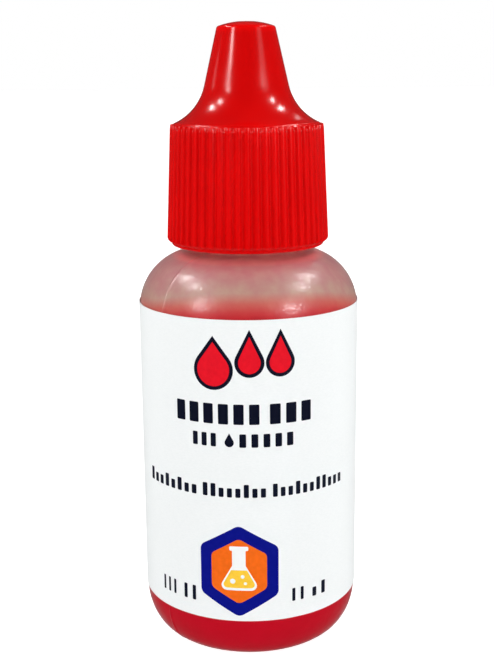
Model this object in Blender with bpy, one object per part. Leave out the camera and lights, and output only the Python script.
"""Squeeze dropper bottle for a liquid test reagent, 15 ml.

A blow-moulded bottle with a threaded neck, a press-fit dropper tip in the neck, a ribbed screw cap with a
tall cone over the tip's nozzle, a wrap-round label and the liquid. Metres, +Z up. The origin is at the middle
of the base, on the surface that the bottle stands on, and the label's front faces -Y.
"""
import math

import bmesh
import bpy

# --- Round parts
SEGMENTS = 36                     # facets round the axis; a multiple of 4 keeps the box at the true radius
STEP = 2 * math.pi / SEGMENTS
ARC_STEPS = 5                     # pieces in a quarter-size arc
FILLET_STEPS = 2
WELD = 1e-6                       # merges the two ends of a full turn
SHARP_ANGLE = math.radians(35)

# --- Bottle
BODY_RADIUS = 0.0124
WALL = 0.0008
BASE_CORNER_WIDTH = 0.0036        # the base corner is a quarter ellipse, taller than it is wide
BASE_CORNER_HEIGHT = 0.0054
STAND_INNER_RADIUS = 0.0074       # the flat ring that the bottle stands on ends here
RECESS_RADIUS = 0.0062
RECESS_FILLET = 0.0004
RECESS_HEIGHT = 0.0007
RECESS_CENTRE_HEIGHT = 0.0011
BASE_THICKNESS = 0.0012
SHOULDER_START = 0.03878          # height where the straight wall ends
SHOULDER_RADIUS = 0.0064
SHOULDER_SWEEP = math.radians(78)  # the arc ends here, and its tangent runs on to the neck
SHOULDER_PITCH = math.pi / 2 - SHOULDER_SWEEP
NECK_RADIUS = 0.00645
NECK_BORE = 0.0052
NECK_TOP = 0.0570
NECK_FOOT_FILLET = 0.0004
BORE_FOOT_FILLET = 0.0006
NECK_RIM_FILLETS = (0.0003, 0.0002)   # outside, inside

# --- Screw thread, right-handed, 12 turns to the inch
PITCH = 0.0254 / 12
THREAD_STEPS = 36                 # pieces in one turn
THREAD_SINK = 0.0003              # how far a ridge is rooted in its wall
THREAD_FADE = 0.22                # share of a turn in which a ridge runs out at each end
NECK_THREAD_CREST = 0.0073
NECK_THREAD_ROOT_WIDTH = 0.00115
NECK_THREAD_CREST_WIDTH = 0.00055
NECK_THREAD_BOTTOM = 0.0492       # height of the ridge's middle where it starts
NECK_THREAD_TURNS = 2.4
CAP_THREAD_CREST = 0.00665
CAP_THREAD_ROOT_WIDTH = 0.00105
CAP_THREAD_CREST_WIDTH = 0.00050
CAP_THREAD_TURNS = 2.0
THREAD_OFFSET = PITCH / 2 - 0.00015   # the cap's ridge bears upwards on the neck's

# --- Dropper tip
TIP_PLUG_RADIUS = 0.00515
TIP_PLUG_LENGTH = 0.0078
TIP_LEAD_IN_WIDTH = 0.0004        # chamfer that guides the plug into the neck
TIP_LEAD_IN_HEIGHT = 0.0012
TIP_PLUG_BORE = 0.0042
TIP_FLANGE_RADIUS = 0.0063
TIP_FLANGE_THICKNESS = 0.00085
TIP_FLANGE_FILLETS = (0.0002, 0.0003)   # lower edge, upper edge
TIP_GAP = 0.00005                 # between the flange and the top of the neck
NOZZLE_ROOT_RADIUS = 0.0042
NOZZLE_ROOT_FILLET = 0.0005
NOZZLE_WAIST_RADIUS = 0.0029
NOZZLE_WAIST_HEIGHT = 0.0610
NOZZLE_WAIST_FILLET = 0.003
NOZZLE_TIP_RADIUS = 0.0015
NOZZLE_TIP_FILLET = 0.0003
NOZZLE_TOP = 0.0672
CHANNEL_RADIUS = 0.0013
CHANNEL_DROP = 0.0010             # below the top of the neck, where the plug's wide bore starts
CAPILLARY_RADIUS = 0.00035
CAPILLARY_BOTTOM = 0.0655
MOUTH_RADIUS = 0.0007
MOUTH_DEPTH = 0.0008

# --- Cap
CAP_BOTTOM = 0.04585
CAP_RIM_RADIUS = 0.0086
CAP_RIM_TOP = 0.0463
CAP_RIM_FILLET = 0.0002
CAP_LEDGE_RADIUS = 0.0081         # where the skirt ends and the flare starts
CAP_BORE = 0.00745
FLARE_RADIUS = 0.0059             # concave arc between the skirt and the cone
CONE_FOOT_RADIUS = 0.00466
CONE_FOOT = 0.0634
CONE_SLOPE = math.atan(0.232)     # the cone's lean from upright
CONE_WALL = 0.0012
DOME_RADIUS = 0.0095
DOME_EDGE_FILLET = 0.00035
DOME_EDGE_GAP = 0.05              # radians of the dome that make room for its edge's fillet
DOME_ARC_STEPS = 3
CAP_TOP = 0.0702
CAP_INNER_TOP = 0.0686
SEAT_RADIUS = 0.0062              # the land inside the cap that bears on the tip's flange
SEAT_HEIGHT = 0.0580
SEAT_FILLET = 0.0003
PIN_RADIUS = 0.0005               # the pin that stops the nozzle
PIN_END_RADIUS = 0.0003
PIN_END = 0.0668
PIN_TAPER = 0.0005
PIN_BOSS_RADIUS = 0.0012
PIN_BOSS_HEIGHT = 0.0008

# --- Ribs on the cap's skirt
RIB_COUNT = 54
RIB_BOTTOM = 0.0462
RIB_CHAMFER = 0.00045
RIB_TOP = 0.0591
RIB_TOP_ROUND = 0.00018
RIB_BOTTOM_RADIUS = 0.00912
RIB_TOP_RADIUS = 0.00854
RIB_SINK = 0.0003
RIB_ROOT_SHARE = 0.72             # of the pitch between two ribs
RIB_CREST_SHARE = 0.34

# --- Label
LABEL_BOTTOM = 0.0054
LABEL_HEIGHT = 0.03416
LABEL_GAP = 0.00003
LABEL_THICKNESS = 0.00008
LABEL_OPEN_STEPS = 2              # facets left bare between the label's two ends, at the back

# --- Liquid
FILL_LEVEL = 0.04175
LIQUID_GAP = 0.0001


def clear_scene():
    for item in list(bpy.data.objects):
        bpy.data.objects.remove(item, do_unlink=True)


def plastic(name, colour, roughness, alpha=1.0):
    """A Principled material in one plain colour."""
    material = bpy.data.materials.new(name)
    material.use_nodes = True
    shader = material.node_tree.nodes["Principled BSDF"]
    shader.inputs["Base Color"].default_value = (*colour, 1.0)
    shader.inputs["Roughness"].default_value = roughness
    shader.inputs["Alpha"].default_value = alpha
    return material


def arc(centre_r, centre_z, radius_r, radius_z, start, end, steps=ARC_STEPS):
    """Points of an elliptical arc in the (radius, height) plane, both ends included."""
    points = []
    for index in range(steps + 1):
        angle = start + (end - start) * index / steps
        points.append((centre_r + radius_r * math.cos(angle), centre_z + radius_z * math.sin(angle)))
    return points


def rounded(corners):
    """Outline through corners given as (r, z) or (r, z, fillet radius)."""
    points = []
    for index, corner in enumerate(corners):
        fillet = corner[2] if len(corner) == 3 else 0.0
        if fillet == 0.0:
            points.append(corner[:2])
            continue
        before = corners[index - 1]
        after = corners[index + 1]
        points += fillet_points(before, corner, after, fillet)
    return points


def fillet_points(before, corner, after, radius):
    """The arc of the given radius that touches both sides of a corner."""
    to_before = unit(before[0] - corner[0], before[1] - corner[1])
    to_after = unit(after[0] - corner[0], after[1] - corner[1])
    half = math.acos(to_before[0] * to_after[0] + to_before[1] * to_after[1]) / 2
    middle = unit(to_before[0] + to_after[0], to_before[1] + to_after[1])
    reach = radius / math.sin(half)
    centre = (corner[0] + middle[0] * reach, corner[1] + middle[1] * reach)
    tangent = radius / math.tan(half)
    first = (corner[0] + to_before[0] * tangent, corner[1] + to_before[1] * tangent)
    last = (corner[0] + to_after[0] * tangent, corner[1] + to_after[1] * tangent)
    start = math.atan2(first[1] - centre[1], first[0] - centre[0])
    sweep = math.atan2(last[1] - centre[1], last[0] - centre[0]) - start
    sweep = (sweep + math.pi) % (2 * math.pi) - math.pi
    return arc(*centre, radius, radius, start, start + sweep, FILLET_STEPS)


def unit(x, y):
    length = math.hypot(x, y)
    return (x / length, y / length)


def finish_object(name, mesh_builder, material):
    """Turn a bmesh into a named object with outward faces and smooth shading between its sharp edges."""
    bmesh.ops.recalc_face_normals(mesh_builder, faces=mesh_builder.faces)
    mesh = bpy.data.meshes.new(name)
    mesh_builder.to_mesh(mesh)
    mesh_builder.free()
    mesh.shade_smooth()
    mesh.set_sharp_from_angle(angle=SHARP_ANGLE)
    item = bpy.data.objects.new(name, mesh)
    if material:
        mesh.materials.append(material)
    bpy.context.scene.collection.objects.link(item)
    return item


def turned(name, outline, material, closed=False, start=0.0, steps=SEGMENTS):
    """Spin an outline of (radius, height) points about the Z axis. An open outline ends on the axis."""
    builder = bmesh.new()
    verts = [builder.verts.new((r * math.cos(start), r * math.sin(start), z)) for r, z in outline]
    edges = [builder.edges.new(pair) for pair in zip(verts, verts[1:])]
    if closed:
        edges.append(builder.edges.new((verts[-1], verts[0])))
    full_turn = steps == SEGMENTS
    ends = [] if full_turn else [builder.faces.new(verts)]
    bmesh.ops.spin(builder, geom=verts + edges + ends, axis=(0, 0, 1), cent=(0, 0, 0),
                   angle=steps * STEP, steps=steps, use_duplicate=False)
    if full_turn:
        bmesh.ops.remove_doubles(builder, verts=builder.verts, dist=WELD)
    return finish_object(name, builder, material)


def guide(item):
    """Mark an object as a tool for a Boolean, not a part of the bottle."""
    item.hide_render = True
    item.display_type = "WIRE"
    return item


def join_boolean(item, tool):
    modifier = item.modifiers.new(tool.name, "BOOLEAN")
    modifier.operation = "UNION"
    modifier.solver = "EXACT"
    modifier.object = tool


def thread_ridge(name, wall_radius, crest_radius, root_width, crest_width, bottom, turns):
    """A helical ridge of trapezoid section, rooted in a wall and running out at both ends.

    The crest may stand outside the wall's radius, on a neck, or inside it, in a cap.
    """
    outward = math.copysign(1.0, crest_radius - wall_radius)
    root_radius = wall_radius - outward * THREAD_SINK
    run_out_radius = wall_radius - outward * THREAD_SINK / 2
    builder = bmesh.new()
    count = round(turns * THREAD_STEPS)
    rings = []
    for index in range(count + 1):
        turn = index / THREAD_STEPS
        angle = turn * 2 * math.pi
        height = bottom + turn * PITCH
        fade = min(1.0, turn / THREAD_FADE, (count / THREAD_STEPS - turn) / THREAD_FADE)
        crest = run_out_radius + (crest_radius - run_out_radius) * fade
        section = [(root_radius, -root_width / 2), (crest, -crest_width / 2),
                   (crest, crest_width / 2), (root_radius, root_width / 2)]
        rings.append([builder.verts.new((r * math.cos(angle), r * math.sin(angle), height + z))
                      for r, z in section])
    for lower, upper in zip(rings, rings[1:]):
        for side in range(4):
            following = (side + 1) % 4
            builder.faces.new((lower[side], lower[following], upper[following], upper[side]))
    builder.faces.new(rings[0])
    builder.faces.new(rings[-1])
    return guide(finish_object(name, builder, None))


def shoulder_end(radius):
    """Where the shoulder's arc of the given radius ends and its cone starts."""
    centre_r = BODY_RADIUS - SHOULDER_RADIUS
    return (centre_r + radius * math.cos(SHOULDER_SWEEP), SHOULDER_START + radius * math.sin(SHOULDER_SWEEP))


def neck_foot(shoulder_radius, neck_radius):
    """Height where a shoulder of that arc radius, run on straight, meets a neck of that radius."""
    foot_r, foot_z = shoulder_end(shoulder_radius)
    return foot_z + (foot_r - neck_radius) * math.tan(SHOULDER_PITCH)


def cavity_outline(gap, level=None):
    """Inside of the bottle from the axis upwards, shrunk by a gap: up to the neck, or to a liquid level."""
    radius = BODY_RADIUS - WALL - gap
    centre_r = BODY_RADIUS - SHOULDER_RADIUS
    arc_radius = SHOULDER_RADIUS - WALL - gap
    floor = BASE_THICKNESS + gap
    corner_width = BASE_CORNER_WIDTH - WALL / 2
    corner_height = BASE_CORNER_HEIGHT - WALL
    outline = [(0.0, RECESS_CENTRE_HEIGHT + floor), (RECESS_RADIUS, RECESS_HEIGHT + floor)]
    outline += arc(radius - corner_width, floor + corner_height, corner_width, corner_height,
                   -math.pi / 2, 0.0)
    sweep = SHOULDER_SWEEP
    if level:
        sweep = math.asin((level - SHOULDER_START) / arc_radius)
    outline += arc(centre_r, SHOULDER_START, arc_radius, arc_radius, 0.0, sweep)
    return outline


def make_bottle(material):
    """Hollow bottle: standing ring, wall, shoulder, neck and its thread."""
    inner = cavity_outline(0.0)
    base = rounded([(0.0, RECESS_CENTRE_HEIGHT), (RECESS_RADIUS, RECESS_HEIGHT, RECESS_FILLET),
                    (STAND_INNER_RADIUS, 0.0)])
    corner = arc(BODY_RADIUS - BASE_CORNER_WIDTH, BASE_CORNER_HEIGHT, BASE_CORNER_WIDTH,
                 BASE_CORNER_HEIGHT, -math.pi / 2, 0.0, ARC_STEPS + 2)
    shoulder = arc(BODY_RADIUS - SHOULDER_RADIUS, SHOULDER_START, SHOULDER_RADIUS, SHOULDER_RADIUS,
                   0.0, SHOULDER_SWEEP, ARC_STEPS + 2)
    neck = rounded([shoulder[-1], (NECK_RADIUS, neck_foot(SHOULDER_RADIUS, NECK_RADIUS), NECK_FOOT_FILLET),
                    (NECK_RADIUS, NECK_TOP, NECK_RIM_FILLETS[0]), (NECK_BORE, NECK_TOP, NECK_RIM_FILLETS[1]),
                    (NECK_BORE, neck_foot(SHOULDER_RADIUS - WALL, NECK_BORE), BORE_FOOT_FILLET), inner[-1]])
    outline = base + corner + shoulder + neck[1:-1] + inner[::-1]
    bottle = turned("bottle", outline, material)
    ridge = thread_ridge("neck_thread", NECK_RADIUS, NECK_THREAD_CREST, NECK_THREAD_ROOT_WIDTH,
                         NECK_THREAD_CREST_WIDTH, NECK_THREAD_BOTTOM, NECK_THREAD_TURNS)
    join_boolean(bottle, ridge)
    return bottle


def make_dropper_tip(material):
    """Plug with a flange, a tapered nozzle and a channel that narrows to a capillary."""
    seat = NECK_TOP + TIP_GAP
    flange_top = seat + TIP_FLANGE_THICKNESS
    plug_bottom = NECK_TOP - TIP_PLUG_LENGTH
    outline = rounded([
        (TIP_PLUG_BORE, plug_bottom), (TIP_PLUG_RADIUS - TIP_LEAD_IN_WIDTH, plug_bottom),
        (TIP_PLUG_RADIUS, plug_bottom + TIP_LEAD_IN_HEIGHT), (TIP_PLUG_RADIUS, seat),
        (TIP_FLANGE_RADIUS, seat, TIP_FLANGE_FILLETS[0]),
        (TIP_FLANGE_RADIUS, flange_top, TIP_FLANGE_FILLETS[1]),
        (NOZZLE_ROOT_RADIUS, flange_top, NOZZLE_ROOT_FILLET),
        (NOZZLE_WAIST_RADIUS, NOZZLE_WAIST_HEIGHT, NOZZLE_WAIST_FILLET),
        (NOZZLE_TIP_RADIUS, NOZZLE_TOP, NOZZLE_TIP_FILLET),
        (MOUTH_RADIUS, NOZZLE_TOP), (CAPILLARY_RADIUS, NOZZLE_TOP - MOUTH_DEPTH),
        (CAPILLARY_RADIUS, CAPILLARY_BOTTOM), (CHANNEL_RADIUS, NOZZLE_WAIST_HEIGHT),
        (TIP_PLUG_BORE, NECK_TOP - CHANNEL_DROP)])
    return turned("dropper_tip", outline, material, closed=True)


def cone_radius(height):
    return CONE_FOOT_RADIUS - (height - CONE_FOOT) * math.tan(CONE_SLOPE)


def flare(radius, foot_r):
    """Concave arc from a foot radius up to the cone, about the centre that both faces of the wall share."""
    centre_r = CONE_FOOT_RADIUS + FLARE_RADIUS * math.cos(CONE_SLOPE)
    centre_z = CONE_FOOT + FLARE_RADIUS * math.sin(CONE_SLOPE)
    foot_angle = math.acos((centre_r - foot_r) / radius)
    return arc(centre_r, centre_z, -radius, -radius, foot_angle, CONE_SLOPE, ARC_STEPS + 1)


def cap_outline():
    """Half-section of the cap without its ribs and thread, from the pin's end round to the dome."""
    cone_wall = CONE_WALL / math.cos(CONE_SLOPE)
    inner_flare = flare(FLARE_RADIUS + CONE_WALL, SEAT_RADIUS)
    outer_flare = flare(FLARE_RADIUS, CAP_LEDGE_RADIUS)
    inner_top_r = cone_radius(CAP_INNER_TOP) - cone_wall
    pin = rounded([(0.0, PIN_END), (PIN_END_RADIUS, PIN_END), (PIN_RADIUS, PIN_END + PIN_TAPER),
                   (PIN_RADIUS, CAP_INNER_TOP - PIN_BOSS_HEIGHT), (PIN_BOSS_RADIUS, CAP_INNER_TOP),
                   (inner_top_r, CAP_INNER_TOP)])
    skirt = rounded([(SEAT_RADIUS, SEAT_HEIGHT), (CAP_BORE, SEAT_HEIGHT, SEAT_FILLET),
                     (CAP_BORE, CAP_BOTTOM, CAP_RIM_FILLET), (CAP_RIM_RADIUS, CAP_BOTTOM, CAP_RIM_FILLET),
                     (CAP_RIM_RADIUS, CAP_RIM_TOP), (CAP_LEDGE_RADIUS, outer_flare[0][1])])
    dome_centre = CAP_TOP - DOME_RADIUS
    edge = dome_edge()
    rim = math.acos(edge[0] / DOME_RADIUS)
    dome = arc(0.0, dome_centre, DOME_RADIUS, DOME_RADIUS, rim + DOME_EDGE_GAP, math.pi / 2, DOME_ARC_STEPS)
    corner = rounded([outer_flare[-1], (*edge, DOME_EDGE_FILLET), dome[0]])
    return pin + inner_flare[::-1] + skirt + outer_flare[1:] + corner[1:-1] + dome


def dome_edge():
    """Where the cone and the dome meet, found by stepping the cone's height to the dome's."""
    height = CAP_TOP
    for _ in range(20):
        radius = cone_radius(height)
        height = CAP_TOP - DOME_RADIUS + math.sqrt(DOME_RADIUS ** 2 - radius ** 2)
    return (cone_radius(height), height)


def rib_radius(height):
    share = (height - RIB_BOTTOM) / (RIB_TOP - RIB_BOTTOM)
    return RIB_BOTTOM_RADIUS + (RIB_TOP_RADIUS - RIB_BOTTOM_RADIUS) * share


def valley_radius(height):
    share = (height - CAP_RIM_TOP) / (flare(FLARE_RADIUS, CAP_LEDGE_RADIUS)[0][1] - CAP_RIM_TOP)
    return CAP_RIM_RADIUS + (CAP_LEDGE_RADIUS - CAP_RIM_RADIUS) * max(share, 0.0)


def make_ribs():
    """All the ribs of the skirt, as tapered upright bars rooted in its wall."""
    rib_pitch = 2 * math.pi / RIB_COUNT
    levels = [(RIB_BOTTOM, valley_radius(RIB_BOTTOM) - RIB_SINK / 3),
              (RIB_BOTTOM + RIB_CHAMFER, rib_radius(RIB_BOTTOM + RIB_CHAMFER)),
              (RIB_TOP - RIB_TOP_ROUND, rib_radius(RIB_TOP - RIB_TOP_ROUND)),
              (RIB_TOP, rib_radius(RIB_TOP) - RIB_TOP_ROUND)]
    builder = bmesh.new()
    for rib in range(RIB_COUNT):
        middle = (rib + 0.5) * rib_pitch
        rings = []
        for height, crest in levels:
            root = valley_radius(height) - RIB_SINK
            section = [(root, -RIB_ROOT_SHARE / 2), (crest, -RIB_CREST_SHARE / 2),
                       (crest, RIB_CREST_SHARE / 2), (root, RIB_ROOT_SHARE / 2)]
            rings.append([builder.verts.new((r * math.cos(middle + share * rib_pitch),
                                             r * math.sin(middle + share * rib_pitch), height))
                          for r, share in section])
        for lower, upper in zip(rings, rings[1:]):
            for side in range(4):
                following = (side + 1) % 4
                builder.faces.new((lower[side], lower[following], upper[following], upper[side]))
        builder.faces.new(rings[0])
        builder.faces.new(rings[-1])
    return guide(finish_object("cap_ribs", builder, None))


def make_cap(material):
    """Screw cap: turned body with the ribs and the thread joined on."""
    cap = turned("cap", cap_outline(), material)
    join_boolean(cap, make_ribs())
    ridge = thread_ridge("cap_thread", CAP_BORE, CAP_THREAD_CREST, CAP_THREAD_ROOT_WIDTH,
                         CAP_THREAD_CREST_WIDTH, NECK_THREAD_BOTTOM - THREAD_OFFSET, CAP_THREAD_TURNS)
    join_boolean(cap, ridge)
    return cap


def make_label(material):
    """Thin wrap round the straight wall, open at the back."""
    inner = BODY_RADIUS + LABEL_GAP
    outer = inner + LABEL_THICKNESS
    top = LABEL_BOTTOM + LABEL_HEIGHT
    section = [(inner, LABEL_BOTTOM), (outer, LABEL_BOTTOM), (outer, top), (inner, top)]
    start = math.pi / 2 + LABEL_OPEN_STEPS / 2 * STEP
    return turned("label", section, material, closed=True, start=start, steps=SEGMENTS - LABEL_OPEN_STEPS)


def make_reagent(material):
    """The liquid, as the bottle's inside up to the fill level."""
    outline = cavity_outline(LIQUID_GAP, FILL_LEVEL) + [(0.0, FILL_LEVEL)]
    return turned("reagent", outline, material)


clear_scene()
make_bottle(plastic("natural_polyethylene", (0.80, 0.78, 0.75), 0.35, 0.5))
make_dropper_tip(plastic("natural_plug", (0.88, 0.87, 0.84), 0.35))
make_cap(plastic("red_polypropylene", (0.67, 0.003, 0.003), 0.3))
make_label(plastic("white_paper", (0.86, 0.87, 0.85), 0.5))
make_reagent(plastic("red_liquid", (0.48, 0.003, 0.02), 0.05, 0.9))
